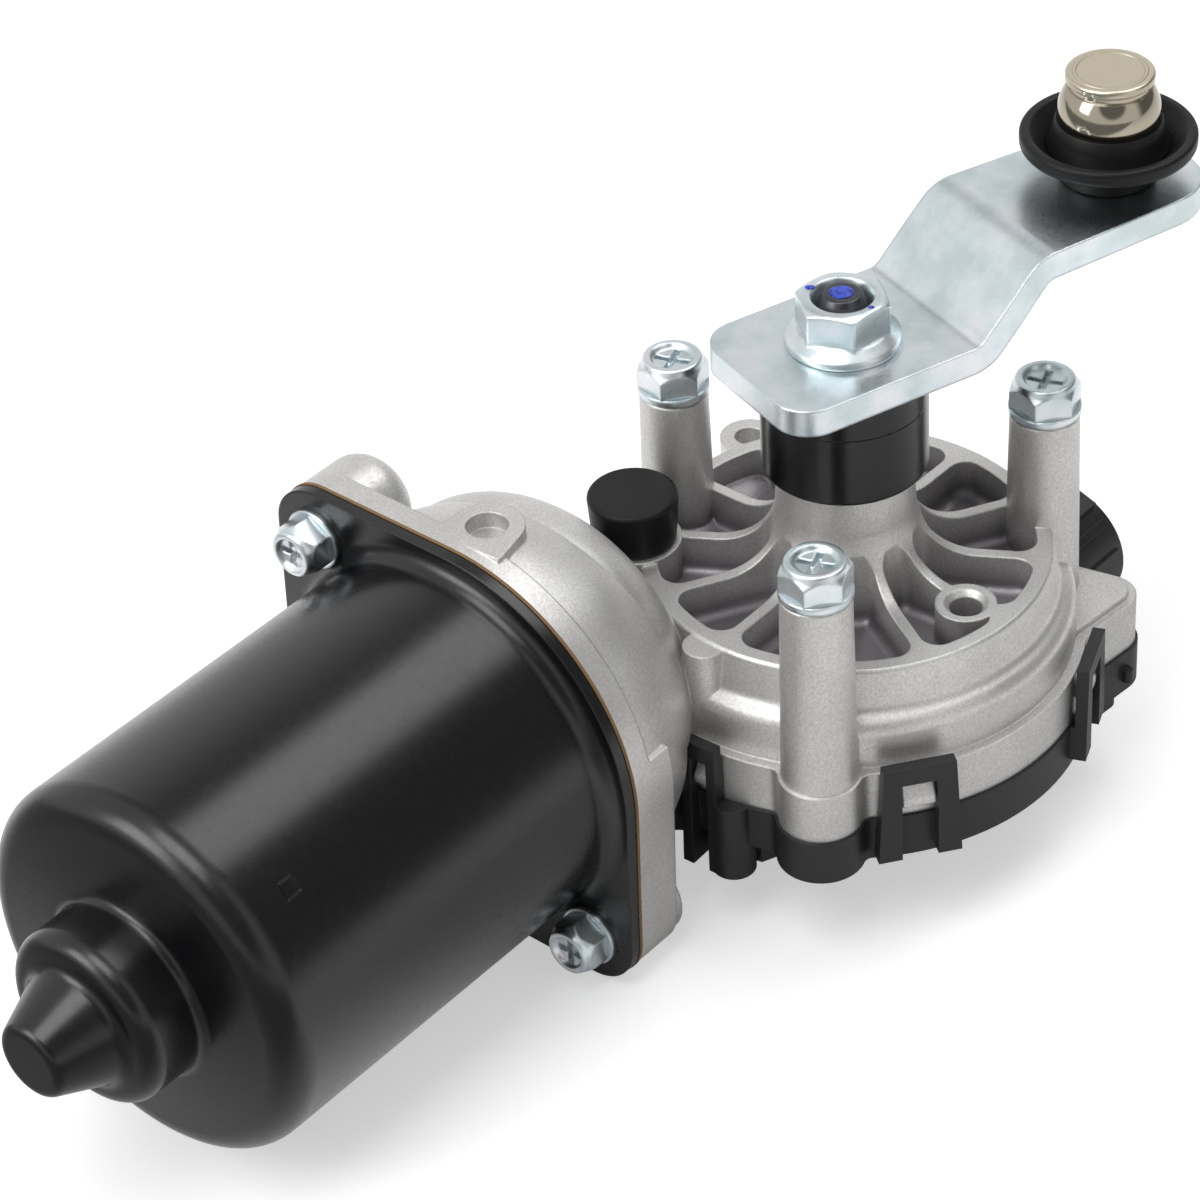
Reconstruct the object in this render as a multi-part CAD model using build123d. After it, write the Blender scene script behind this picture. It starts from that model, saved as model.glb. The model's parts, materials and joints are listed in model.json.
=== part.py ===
from build123d import *
import math
import os

os.makedirs("parts", exist_ok=True)

# A windscreen wiper motor. Z is the output axis and points up, X runs along
# the motor and away from its nose. Z = 0 is the flat underside of the cover.

# Worm and wheel
MODULE = 1.0
TEETH = 50
WORM_PITCH_R = 4.5
PITCH = math.pi * MODULE
WHEEL_PITCH_R = MODULE * TEETH / 2
TOOTH_SHARE = 0.42
PRESSURE_DEG = 20.0
ADDENDUM = MODULE
DEDENDUM = 1.25 * MODULE
WORM_HALF = 13.0
WHEEL_HALF = 4.0
LEAD_DEG = math.degrees(math.atan(PITCH / (2 * math.pi * WORM_PITCH_R)))

# Motor axis, beside and above the origin
MOTOR_Y = WHEEL_PITCH_R + WORM_PITCH_R
MOTOR_Z = 25.0

# Clearances
RUN = 0.03
AIR = 0.3
SNUG = 0.05

# Heights of the gear case and its cover
EDGE_Z = 6.0
SEAM_Z = 13.7
RIM_TOP = 22.3
CEILING_Z = 29.4
FLOOR_Z = 31.8
RING_TOP = 38.0
HUB_TOP = 59.0
POST_TOP = 56.65

# Plan sizes of the gear case
RIM_R = 37.9
RING_OUT = 32.5
RING_IN = 29.5
HUB_R = 12.4
CHAMBER_R = 27.3
RIBS = 12
RIB_T = 2.6
SCOOP = 1.6
WALL_ROUND = 1.8
DRAFT = 3.5
BOLT_CIRCLE = 67.5
PATTERN_X = -3.0
PATTERN_Y = -2.2
POST_TOP_R = 5.5
POST_BASE_R = 6.5
POST_ANGLES = (90.0, 210.0, 330.0)
EAR = (30.5, -28.5)
EAR_PAD_TOP = 23.3
LUG = (16.5, 32.4)
LUG_TOP = 36.0
LUG_HOLE_R = 2.4
LUG_HOLE_DEPTH = 3.0
CLIPS = ((-127.0, 11.5, 6.8), (-68.0, 11.5, 7.4), (182.3, 6.0, 0.0))
CLIP_TOP = 24.5
CLIP_BAR = 0.25
CLIP_FLARE = 0.08
CLIP_WINDOW_TOP = 21.4
PLUG_X = -18.5
PLUG_Y = 27.8

# Connector
SOCKET_Y = -11.0
SOCKET_Z = 16.0
SOCKET_R = 10.6
SOCKET_BACK = 31.5
SOCKET_MOUTH = 46.2
PLUG_WIDE = 15.8
PLUG_TALL = 13.2
SOCKET_LATCH = 20.0
SOCKET_RIBS = (45.0, 75.0, 105.0)
BLADE_T = 0.8
BLADES = (-6.4, -3.2, 0.0, 3.2, 6.4)

# Motor flange and can
FACE_X = -58.5
GASKET_T = 0.5
SHEET = 2.0
CAN_R = 31.0
CAN_BORE_R = CAN_R - SHEET
CAN_END = -130.5
NOSE_R = 14.5
NOSE_TIP = CAN_END - 21.5
LEDGE = 3.5
FLANGE_R = CAN_R + LEDGE
EAR_R = 8.0
EAR_Y = FLANGE_R - 8.7
EAR_Z = FLANGE_R - 7.7
LIP_X = -54.5
BLOCK_X = -50.0
NECK_LONG = 30.5
NECK_R = FLANGE_R - 0.9
NECK_PAD = (-50.9, MOTOR_Y - 0.8)
NECK_PAD_TOP = MOTOR_Z + NECK_R + 0.9
NECK_HOLE_R = 3.3
NECK_HOLE_DEPTH = 2.8
BEARING_X = -38.0
BEARING_W = 6.0
BEARING_R = 9.5

# Output shaft and what it carries
SHAFT_R = 5.0
BUSH_R = 7.5
KNURL_R = 5.5
THREAD_R = 4.0
ARM_Z = 72.0
ARM_T = 4.5
ARM_RISE = 11.5
ARM_DEG = -18.5
ARM_REACH = 49.5
NUT_H = 8.0
COLLAR_R = 13.0
COLLAR_Z = 54.6
CUP_R = 11.4

# Armature
MOTOR_SHAFT_R = 4.0
CORE_R = CAN_BORE_R - 7.8
SLOTS = 12
COMM_R = 11.0


# Helpers

def polar(radius, degrees):
    a = math.radians(degrees)
    return (radius * math.cos(a), radius * math.sin(a))


def posts():
    return [Vector(PATTERN_X, PATTERN_Y) + Vector(*polar(BOLT_CIRCLE / 2, a)) for a in POST_ANGLES]


def turned(points, radii=0.0):
    """Body of revolution about Z from (radius, height) corners, each with its own rounding."""
    line = FilletPolyline(*points, radius=radii, close=True)
    return revolve(Plane.XZ * make_face(line), Axis.Z)


def tube(outer, inner, low, high):
    return turned([(inner, low), (outer, low), (outer, high), (inner, high)])


def on_motor(shape):
    """Lay a body made about Z onto the motor axis, its heights running along X."""
    return Pos(0, MOTOR_Y, MOTOR_Z) * Rot(0, 90, 0) * shape


def block(x0, x1, y0, y1, z0, z1):
    return Pos((x0 + x1) / 2, (y0 + y1) / 2, (z0 + z1) / 2) * Box(x1 - x0, y1 - y0, z1 - z0)


def rounded_cut(radius, x0, x1, y, z):
    """Plain cylinder along X."""
    return Pos((x0 + x1) / 2, y, z) * Rot(0, 90, 0) * Cylinder(radius, x1 - x0)


def bolt_head(across_flats, height):
    """Hexagon under a rounded ring with a shallow dish and a cross recess in its top."""
    af = across_flats
    prism = extrude(RegularPolygon(af / 2, 6, major_radius=False), height)
    corners = [(0, 0), (af * 0.6, 0), (af * 0.6, height * 0.55), (af * 0.5, height * 0.8),
               (af * 0.46, height), (af * 0.36, height), (af * 0.3, height - 0.7), (0, height - 0.9)]
    head = prism & turned(corners, [0, 0, 0, 0, 0.4, 0, 0, 0])
    arm = block(-af * 0.28, af * 0.28, -0.55, 0.55, height - 2.0, height + 1)
    return head - arm - Rot(0, 0, 90) * arm


def hexagon(across_flats, height, low):
    """Hexagon head with its top corners turned off."""
    prism = extrude(RegularPolygon(across_flats / 2, 6, major_radius=False), height)
    corners = [(0, 0), (across_flats, 0), (across_flats * 0.56, height - 0.5),
               (across_flats * 0.47, height), (0, height)]
    return Pos(0, 0, low) * (prism & turned(corners))


# Plan of the case

def ear_plan():
    """Corner that reaches out beside the connector."""
    return make_hull((Pos(*EAR) * Circle(5.0)).edges() + (Pos(14, -14) * Circle(18)).edges())


def case_plan():
    """Outline shared by the case rim and the cover."""
    plan = Circle(RIM_R) + ear_plan()
    tongue = Polyline((-50, 6), (-50, 60), (-44, 59.5), (-36, 54), (-29, 46), (-20, 38), (0, 30), (0, 6),
                      close=True)
    plan += make_face(tongue)
    plan += Pos(-2, MOTOR_Y) * Rectangle(56, 18)
    plan += Pos(31, 7.25) * Rectangle(24, 11.5)
    for place in posts():
        plan += Pos(place.X, place.Y) * Circle(POST_BASE_R)
    return offset(offset(plan, 2.0), -2.0)


def pan_plan():
    """Part of the outline where the cover bellies down."""
    keep = Polyline((-60, -4), (-35, -8), (28, -36.1), (60, -50), (60, 90), (-60, 90), close=True)
    return offset(case_plan(), -3.0) & make_face(keep)


# Gear case

def pocket():
    """One pocket between two ribs, standing on the floor and opening upward."""
    half = 180 / RIBS
    near = half - math.degrees(math.asin(RIB_T / 2 / HUB_R))
    far = half - math.degrees(math.asin(RIB_T / 2 / RING_IN))
    with BuildSketch() as plan:
        with BuildLine():
            ThreePointArc(polar(HUB_R, -near), (HUB_R, 0), polar(HUB_R, near))
            Line(polar(HUB_R, near), polar(RING_IN, far))
            ThreePointArc(polar(RING_IN, far), (RING_IN, 0), polar(RING_IN, -far))
            Line(polar(RING_IN, -far), polar(HUB_R, -near))
        make_face()
        fillet(plan.vertices().sort_by(Axis.X)[:2], 1.3)
        fillet(plan.vertices().sort_by(Axis.X)[-2:], 2.6)
    cut = extrude(plan.sketch, 18, taper=-DRAFT)
    cut = fillet(cut.faces().sort_by(Axis.Z)[0].edges(), SCOOP)
    return Pos(0, 0, FLOOR_Z) * cut


def dome():
    """Wheel chamber roof: stepped wall, ring, radial ribs and hub in one turned form."""
    corners = [(0, SEAM_Z + 1), (36.1, SEAM_Z + 1), (36.1, 29.6), (33.4, 31.2),
               (RING_OUT, RING_TOP - 0.4), (RING_OUT - 0.4, RING_TOP),
               (11.5, RING_TOP), (10.4, HUB_TOP - 0.6), (9.8, HUB_TOP), (0, HUB_TOP)]
    radii = [0, 0, 2.6, WALL_ROUND, 0, 0, 9.5, 0, 0, 0]
    body = turned(corners, radii)
    cut = pocket()
    for i in range(RIBS):
        body -= Rot(0, 0, 360 / RIBS * (i + 0.5)) * cut
    return body


def post(place):
    foot = POST_BASE_R - 0.5
    corners = [(0, RIM_TOP - 2), (foot, RIM_TOP - 2), (foot, RIM_TOP), (POST_TOP_R, POST_TOP - 0.5),
               (POST_TOP_R - 0.5, POST_TOP), (0, POST_TOP)]
    return Pos(place.X, place.Y) * turned(corners)


def flange_plan(grow=0.0):
    """Outline of the motor flange in the plane across the motor."""
    disc = Circle(FLANGE_R + grow)
    upper = Pos(EAR_Y, EAR_Z) * Circle(EAR_R + grow)
    lower = Pos(-EAR_Y, -EAR_Z) * Circle(EAR_R + grow)
    return make_hull(disc.edges() + upper.edges() + lower.edges())


def across_motor(x):
    return Plane(origin=(x, MOTOR_Y, MOTOR_Z), x_dir=(0, 1, 0), z_dir=(1, 0, 0))


def neck_half(radius, length):
    """Quarter ellipse turned about the motor axis."""
    arc = EllipticalCenterArc((0, LIP_X), radius, length, start_angle=0, arc_size=90)
    foot = Polyline(arc @ 1, (0, FACE_X), (radius, FACE_X), arc @ 0)
    return on_motor(revolve(Plane.XZ * make_face(Curve() + [arc, foot]), Axis.Z))


def shoulder_outline():
    """Fuller form of the bell's far side, as radius against distance along the motor."""
    radius = NECK_R - 4.0
    arc = EllipticalCenterArc((0, -42), radius, 18, start_angle=0, arc_size=90)
    return Curve() + [arc, Polyline(arc @ 1, (0, LIP_X), (radius, LIP_X), arc @ 0)]


def neck():
    """Bell that leads from the motor flange to the worm tunnel."""
    bell = neck_half(NECK_R, NECK_LONG)
    shoulder = revolve(Plane.XZ * make_face(shoulder_outline()), Axis.Z)
    bell += Pos(0, 1.1, 1.0) * on_motor(shoulder)
    bell -= block(BLOCK_X, 0, -30, 90, -30, SEAM_Z)
    lip = extrude(across_motor(FACE_X) * flange_plan(), LIP_X - FACE_X)
    thick = extrude(across_motor(LIP_X) * flange_plan(), BLOCK_X - LIP_X)
    thick &= block(LIP_X, BLOCK_X, -20, MOTOR_Y, -30, 32)
    return bell + lip + thick


def flange_bosses():
    """Domed lugs behind the two ears that take the flange screws."""
    lug = on_motor(turned([(0, FACE_X), (EAR_R, FACE_X), (EAR_R, -45), (0, -45)], [0, 0, 5, 0]))
    upper = Pos(0, EAR_Y, EAR_Z) * lug
    lower = Pos(0, -EAR_Y, -EAR_Z) * on_motor(tube(EAR_R - 0.5, 0, FACE_X, BLOCK_X + 2))
    return upper + lower


def small_bosses():
    """Pads, lugs and webs on top of the case."""
    lip = Pos(-56, NECK_PAD[1] - 0.6) * Rectangle(1, 12.8)
    pad = make_hull((Pos(*NECK_PAD) * Circle(5.8)).edges() + lip.edges())
    solid = extrude(Pos(0, 0, 40) * pad, NECK_PAD_TOP - 40)
    solid += Pos(*polar(24, 267), 0) * tube(4.8, 0, CEILING_Z + 1, RING_TOP)
    solid += Pos(*LUG) * tube(4.8, 0, RIM_TOP - 2, LUG_TOP)
    solid += Pos(*polar(33, 176), 0) * tube(3.4, 0, RIM_TOP - 2, RING_TOP - 0.4)
    solid += Pos(PLUG_X, PLUG_Y) * tube(7.5, 0, CEILING_Z + 1, RING_TOP + 0.5)
    web = Rot(0, 0, 210) * block(30, 36, -1.6, 1.6, RIM_TOP - 1, RING_TOP - 1)
    solid += web
    solid += extrude(Pos(0, 0, SEAM_Z + 1) * offset(ear_plan(), -1.4), EAR_PAD_TOP - SEAM_Z - 1)
    step = block(24, 43, 1.5, 13, SEAM_Z + 1, 26.5)
    solid += fillet(step.edges().filter_by(Axis.Z).sort_by(Axis.X)[-2:], 2.5)
    return solid


def catch(angle, width):
    """Wedge on the rim that a cover clip snaps over."""
    face = Polyline((37.0, 16.6), (39.8, 16.6), (39.8, 17.8), (38.0, 21.0), (37.0, 21.0), close=True)
    wedge = extrude(Plane.XZ * make_face(face), width * (0.5 - CLIP_BAR) - AIR, both=True)
    return Rot(0, 0, angle) * wedge


def case_cuts():
    """Everything hollow inside the gear case."""
    cut = tube(CHAMBER_R, 0, SEAM_Z - 1, CEILING_Z)
    cut += tube(BUSH_R, 0, CEILING_Z - 1, HUB_TOP + 1)
    cut += on_motor(tube(6.2, 0, BEARING_X + BEARING_W - 1, 24.0))
    cut += on_motor(tube(BEARING_R, 0, BEARING_X - 1, BEARING_X + BEARING_W))
    cut += neck_half(NECK_R - 2.8, NECK_LONG - 3.0) & block(FACE_X - 1, BEARING_X - 0.4, -20, 80, -20, 80)
    cut += neck_half(NECK_R - 2.8, 10) & block(FACE_X - 1, FACE_X + 2, -20, 80, -20, 80)
    for side in (1, -1):
        hole = on_motor(tube(2.4, 0, FACE_X - 1, -47.5))
        cut += Pos(0, side * EAR_Y, side * EAR_Z) * hole
    for place in posts():
        cut += Pos(place.X, place.Y) * tube(2.9, 0, POST_TOP - 18, POST_TOP + 1)
    return cut


def outer_cuts():
    """Holes and the connector notch cut from outside."""
    cut = Pos(*NECK_PAD) * tube(NECK_HOLE_R, 0, NECK_PAD_TOP - NECK_HOLE_DEPTH, NECK_PAD_TOP + 1)
    hole = [(0, 32.6), (2.6, 32.6), (2.6, RING_TOP - 0.9), (3.6, RING_TOP + 0.1), (0, RING_TOP + 0.1)]
    cut += Pos(*polar(24, 267), 0) * turned(hole)
    cut += Pos(*LUG) * tube(LUG_HOLE_R, 0, LUG_TOP - LUG_HOLE_DEPTH, LUG_TOP + 1)
    cut += rounded_cut(SOCKET_R + AIR, SOCKET_BACK - 0.2, 60, SOCKET_Y, SOCKET_Z)
    cut += Pos(PLUG_X, PLUG_Y) * tube(4.0, 0, 33.5, 45)
    angle, width, _ = CLIPS[-1]
    relief = block(38.2, 42, -width / 2 - AIR, width / 2 + AIR, SEAM_Z - 1, CLIP_TOP + AIR)
    return cut + Rot(0, 0, angle) * relief


def gear_housing():
    body = extrude(Pos(0, 0, SEAM_Z) * case_plan(), RIM_TOP - SEAM_Z)
    body += dome()
    body += neck()
    body += on_motor(turned([(0, -40), (8.5, -40), (8.5, 25), (6.8, 27), (0, 27)]))
    body += flange_bosses()
    body += small_bosses()
    for place in posts():
        body += post(place)
    body -= case_cuts()
    body -= outer_cuts()
    for angle, width, _ in CLIPS:
        body += catch(angle, width)
    return body


# Cover

def clip(angle, width, low):
    """Two legs and a bar that snap over a catch of the case, standing proud of the cover."""
    half = width / 2
    foot = half + width * CLIP_FLARE
    window = width * (0.5 - CLIP_BAR)
    outline = make_face(Polyline((-foot, low), (-half, CLIP_TOP), (half, CLIP_TOP), (foot, low), close=True))
    gap = Pos(0, low) * Rectangle(2 * window, 2 * (CLIP_WINDOW_TOP - low))
    legs = Plane(origin=(36.0, 0, 0), x_dir=(0, 1, 0), z_dir=(1, 0, 0)) * (outline - gap)
    frame = extrude(legs, 4.4)
    frame -= block(35, 38.4, -10, 10, SEAM_Z - 0.2, CLIP_TOP + 1)
    return Rot(0, 0, angle) * frame


def cover_shell():
    plan = offset(case_plan(), 0.45)
    shell = extrude(Pos(0, 0, EDGE_Z) * plan, SEAM_Z - EDGE_Z)
    shell += extrude(pan_plan(), EDGE_Z + 1)
    shell += Pos(-37.0, -5.5) * tube(3.5, 0, 0, SEAM_Z)
    shell -= extrude(Pos(0, 0, EDGE_Z + 2) * offset(case_plan(), -4.5), 20)
    shell -= extrude(Pos(0, 0, 2) * offset(pan_plan(), -2.2), 20)
    return shell - block(-60, BLOCK_X, -20, 80, -5, 20)


def gear_cover():
    body = cover_shell()
    body += tube(24.0, 21.5, 1.5, 9.0)
    for angle, width, low in CLIPS:
        body += clip(angle, width, low)
    peg = make_hull((Pos(28.9, -34.3) * Circle(0.9)).edges() + (Pos(29.3, -30.5) * Circle(0.9)).edges())
    body += extrude(Pos(0, 0, 8.4) * peg, 2.2)
    body -= rounded_cut(SOCKET_R + AIR, SOCKET_BACK - 0.2, 60, SOCKET_Y, SOCKET_Z)
    body -= block(20, SOCKET_BACK, SOCKET_Y - 8, SOCKET_Y + 8, 11.0 - SNUG, SEAM_Z)
    return body


# Connector

def blade(y):
    """Flat pin that lies on the contact plate, steps up in the socket back and points outward."""
    low = block(21, 34, y - 0.7, y + 0.7, 11.0, 11.0 + BLADE_T)
    step = block(34 - BLADE_T, 34, y - 0.7, y + 0.7, 11.0, SOCKET_Z + BLADE_T / 2)
    pin = block(34 - BLADE_T, 42.5, y - 0.7, y + 0.7, SOCKET_Z - BLADE_T / 2, SOCKET_Z + BLADE_T / 2)
    return low + step + pin


def connector_terminals():
    return Compound([blade(SOCKET_Y + y) for y in BLADES])


def connector_shell():
    barrel = rounded_cut(SOCKET_R, SOCKET_BACK, SOCKET_MOUTH, SOCKET_Y, SOCKET_Z)
    facing = Plane(origin=(36, SOCKET_Y, SOCKET_Z), x_dir=(0, 1, 0), z_dir=(1, 0, 0))
    barrel -= extrude(facing * RectangleRounded(PLUG_WIDE, PLUG_TALL, 2.5), 12)
    axis = Pos(0, SOCKET_Y, SOCKET_Z)
    latch = block(39, SOCKET_MOUTH - 1.2, -1.8, 1.8, SOCKET_R - 0.6, SOCKET_R + 1.3)
    rib = block(36, SOCKET_MOUTH - 1.2, -0.7, 0.7, SOCKET_R - 0.6, SOCKET_R + 0.5)
    barrel += axis * Rot(SOCKET_LATCH, 0, 0) * latch
    for turn in SOCKET_RIBS:
        barrel += axis * Rot(turn, 0, 0) * rib
    for y in BLADES:
        barrel -= blade(SOCKET_Y + y)
    return barrel


# Motor can

def can_wall():
    """Deep-drawn cup with a stepped nose, drawn as radius against distance along the motor."""
    back = FACE_X - GASKET_T
    step = CAN_END - 11.3
    outer = [(CAN_BORE_R, back), (FLANGE_R, back), (FLANGE_R, back - SHEET), (CAN_R, back - SHEET),
             (CAN_R, CAN_END), (NOSE_R, CAN_END - 1.2), (NOSE_R, step), (9.8, step - 0.6),
             (5.8, NOSE_TIP), (0, NOSE_TIP)]
    inner = [(0, NOSE_TIP + 2.4), (4.2, NOSE_TIP + 2.4), (7.8, step + 2.2), (NOSE_R - 2.2, step + 2.2),
             (NOSE_R - 2.2, CAN_END + 1.6), (CAN_BORE_R, CAN_END + 2.2)]
    radii = [0, 0, 0, 2.8, 5, 1.5, 3, 2.2, 1.7, 0] + [0, 0, 0, 0, 0, 3]
    return on_motor(turned(outer + inner, radii))


def motor_can():
    back = FACE_X - GASKET_T
    sheet = extrude(across_motor(back - SHEET) * flange_plan(), SHEET)
    sheet -= on_motor(tube(CAN_BORE_R + 1.0, 0, back - SHEET - 1, back + 1))
    can = can_wall() + sheet
    for side in (1, -1):
        ear = Pos(0, side * EAR_Y, side * EAR_Z)
        can -= ear * on_motor(tube(2.8, 0, -70, FACE_X + 1))
        can -= ear * on_motor(tube(5.2, 0, -70, back - SHEET))
    return can


def flange_gasket():
    sheet = extrude(across_motor(FACE_X - GASKET_T) * flange_plan(0.15), GASKET_T)
    sheet -= on_motor(tube(CAN_BORE_R + 1.2, 0, -70, -50))
    for side in (1, -1):
        sheet -= Pos(0, side * EAR_Y, side * EAR_Z) * on_motor(tube(2.8, 0, -70, FACE_X + 1))
    return sheet


# Screws

def screw(across_flats, head, shank_r, length):
    """Hexagon screw that hangs from Z = 0."""
    return bolt_head(across_flats, head) + tube(shank_r, 0, -length, 0.5)


def post_bolts():
    one = Pos(0, 0, POST_TOP + 1.2) * screw(10, 5.0, 2.9, 17)
    return Compound([Pos(p.X, p.Y) * Rot(0, 0, 20) * one for p in posts()])


def post_washers():
    return Compound([Pos(p.X, p.Y, POST_TOP) * tube(5.7, 2.95, 0, 1.2) for p in posts()])


def flange_places():
    seat = FACE_X - GASKET_T - SHEET
    turn = Rot(0, -90, 0)
    return [Pos(seat, MOTOR_Y + s * EAR_Y, MOTOR_Z + s * EAR_Z) * turn for s in (1, -1)]


def flange_bolts():
    one = Pos(0, 0, 1.0) * screw(8, 5.0, 2.4, 13.5)
    return Compound([place * one for place in flange_places()])


def flange_washers():
    return Compound([place * tube(5.0, 2.45, 0, 1.0) for place in flange_places()])


# Plug, bushes and seal

def rubber_plug():
    low = RING_TOP + 0.5
    corners = [(0, 34.0), (3.9, 34.0), (3.9, low), (6.7, low), (7.3, low + 8.5), (0, low + 8.5)]
    return Pos(PLUG_X, PLUG_Y) * turned(corners, [0, 0.8, 0, 0.6, 0.8, 0])


def lower_bush():
    return tube(BUSH_R, SHAFT_R + RUN, CEILING_Z, 41.0)


def upper_bush():
    return tube(BUSH_R, SHAFT_R + RUN, 45.0, 55.5)


def shaft_seal():
    """Lip seal in the mouth of the hub."""
    return turned([(5.1, 55.7), (BUSH_R, 55.7), (BUSH_R, 58.8), (6.2, 58.8), (5.1, 57.6)])


# Contact plate

def contact_plate():
    plate = Circle(24.0) + Pos(22.5, SOCKET_Y) * Rectangle(11, 14)
    plate -= Circle(7.0)
    return extrude(Pos(0, 0, 9) * plate, 2)


def finger(radius, degrees):
    """Sprung strip that rises from the contact plate to just under the park disc."""
    strip = [(0, 11), (5, 11), (14.5, 19.4), (16.5, 19.4), (16.5, 19.8), (14.3, 19.8), (4.8, 11.4), (0, 11.4)]
    face = make_face(Polyline(*strip, close=True))
    body = extrude(Plane.XZ * face, 1.5, both=True)
    return Rot(0, 0, degrees) * Pos(-8, radius, 0) * body


def park_contacts():
    return Compound([finger(13.6, 150), finger(16.6, 180), finger(19.4, 215)])


# Inside the can

def field_magnets():
    ring = tube(CAN_BORE_R - 0.2, CORE_R + 1.0, -122, -70)
    gap = block(-40, 40, -9, 9, -130, -60)
    return on_motor(ring - gap)


def rear_bush():
    ball = Pos(0, 0, -136) * Sphere(7.5)
    ball &= tube(8, MOTOR_SHAFT_R + RUN, -139.5, -132.5)
    return on_motor(ball)


def bush_retainer():
    """Dished spring washer that holds the rear bush in the boss."""
    return on_motor(turned([(6.3, -131.6), (12.2, -130.2), (12.2, -129.5), (6.3, -130.9)]))


def front_bearing():
    end = BEARING_X + BEARING_W
    return on_motor(tube(BEARING_R, 6.0, BEARING_X, end))


def bearing_inner_ring():
    end = BEARING_X + BEARING_W
    return on_motor(tube(6.0 - 2 * RUN, MOTOR_SHAFT_R, BEARING_X, end))


def bearing_retainer():
    return on_motor(tube(13.5, 7.6, BEARING_X - 1.2, BEARING_X - 0.4))


def brush_card():
    plate = on_motor(tube(CAN_BORE_R - 0.4, 12.6, -46.6, -45.0))
    return plate - block(-50, -40, -10, 70, -20, SEAM_Z + AIR)


def brush_holder(side):
    guide = block(13.2, 24.4, -4.2, 4.2, -56.2, -46.6)
    guide -= block(12, 23.6, -3.3, 3.3, -55.3, -48.2)
    return Rot(0, 0, side) * guide


def brush_holders():
    return on_motor(Compound([brush_holder(side) for side in (90, -90)]))


def brush(side):
    carbon = block(8, 18.5, -3.2, 3.2, -55.2, -48.3) - tube(COMM_R + 0.1, 0, -60, -40)
    return Rot(0, 0, side) * carbon


def brushes():
    return on_motor(Compound([brush(side) for side in (90, -90)]))


def brush_spring(side):
    return Rot(0, 0, side) * rounded_cut(2.4, 18.6, 23.5, 0, -51.8)


def brush_springs():
    return on_motor(Compound([brush_spring(side) for side in (90, -90)]))


def choke(y):
    """Coil wound on a ferrite rod, standing beside the brushes."""
    core = Pos(-18, y) * tube(2.2, 0, -60, -46.6)
    coil = Pos(-18, y) * tube(3.6, 2.2, -58.5, -48.5)
    return core + coil


def choke_coils():
    return on_motor(Compound([choke(6), choke(-6)]))


def thrust_button():
    return on_motor(tube(6.15, 0, 22.0, 24.0))


# Output shaft and wheel

def output_shaft():
    """Shaft with a knurled root, a tapered seat for the arm and a threaded end."""
    corners = [(0, 15.0), (KNURL_R, 15.0), (KNURL_R, 28.3), (SHAFT_R, 28.3), (SHAFT_R, 60.3),
               (4.5, 60.3), (4.5, 61.3), (SHAFT_R, 61.3), (SHAFT_R, ARM_Z - 2), (4.4, ARM_Z + ARM_T),
               (THREAD_R, ARM_Z + ARM_T), (THREAD_R, 85.5), (0, 85.5)]
    return turned(corners, [0, 0.6] + [0] * 9 + [0.7, 0])


def involute_half(radius):
    """Half the angle that a wheel tooth spans at a radius."""
    base = WHEEL_PITCH_R * math.cos(math.radians(PRESSURE_DEG))

    def inv(r):
        a = math.acos(min(1.0, base / r))
        return math.tan(a) - a

    half_pitch = TOOTH_SHARE * PITCH / 2 / WHEEL_PITCH_R
    return math.degrees(half_pitch + inv(WHEEL_PITCH_R) - inv(radius))


def wheel_plan():
    """Toothed outline of the worm wheel."""
    root = WHEEL_PITCH_R - DEDENDUM
    tip = WHEEL_PITCH_R + ADDENDUM
    edges = []
    step = 360 / TEETH
    for i in range(TEETH):
        mid = 90 + i * step
        lo, hi = involute_half(root), involute_half(tip)
        flank = involute_half(WHEEL_PITCH_R)
        a, b = polar(root, mid - lo), polar(tip, mid - hi)
        c, d = polar(tip, mid + hi), polar(root, mid + lo)
        edges.append(ThreePointArc(a, polar(WHEEL_PITCH_R, mid - flank), b))
        edges.append(Line(b, c))
        edges.append(ThreePointArc(c, polar(WHEEL_PITCH_R, mid + flank), d))
        edges.append(Line(d, polar(root, mid + step - lo)))
    return Face(Wire(edges))


def worm_wheel():
    """Moulded wheel whose teeth lean with the lead of the worm."""
    lean = math.degrees(2 * WHEEL_HALF * math.tan(math.radians(LEAD_DEG)) / WHEEL_PITCH_R)
    low = MOTOR_Z - WHEEL_HALF
    start = Rot(0, 0, -lean / 2) * (Pos(0, 0, low) * wheel_plan())
    gear = Solid(Solid.extrude_linear_with_rotation(start, (0, 0, low), (0, 0, 2 * WHEEL_HALF), lean).wrapped)
    body = Part() + gear
    body -= tube(20.5, 0, MOTOR_Z + 1.5, MOTOR_Z + 5)
    body -= tube(20.5, 0, MOTOR_Z - 5, MOTOR_Z - 1.5)
    body += tube(9.0, 0, 20.0, 28.3)
    for i in range(6):
        rib = block(8, 21, -0.9, 0.9, MOTOR_Z - WHEEL_HALF + 0.8, MOTOR_Z + WHEEL_HALF - 0.8)
        body += Rot(0, 0, 60 * i) * rib
    return body - tube(KNURL_R, 0, 10, 40)


def park_disc():
    disc = tube(21.0, 12.0, 20.1, 21.0)
    return disc - (block(0, 30, -4, 4, 10, 30) & tube(18.0, 15.0, 10, 30))


def thrust_washer():
    return tube(9.0, SHAFT_R, 28.3, CEILING_Z - AIR)


def shaft_washer():
    return tube(8.5, SHAFT_R, HUB_TOP + 0.3, 60.3)


def retaining_ring():
    return tube(7.0, 4.5, 60.3, 61.3)


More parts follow.
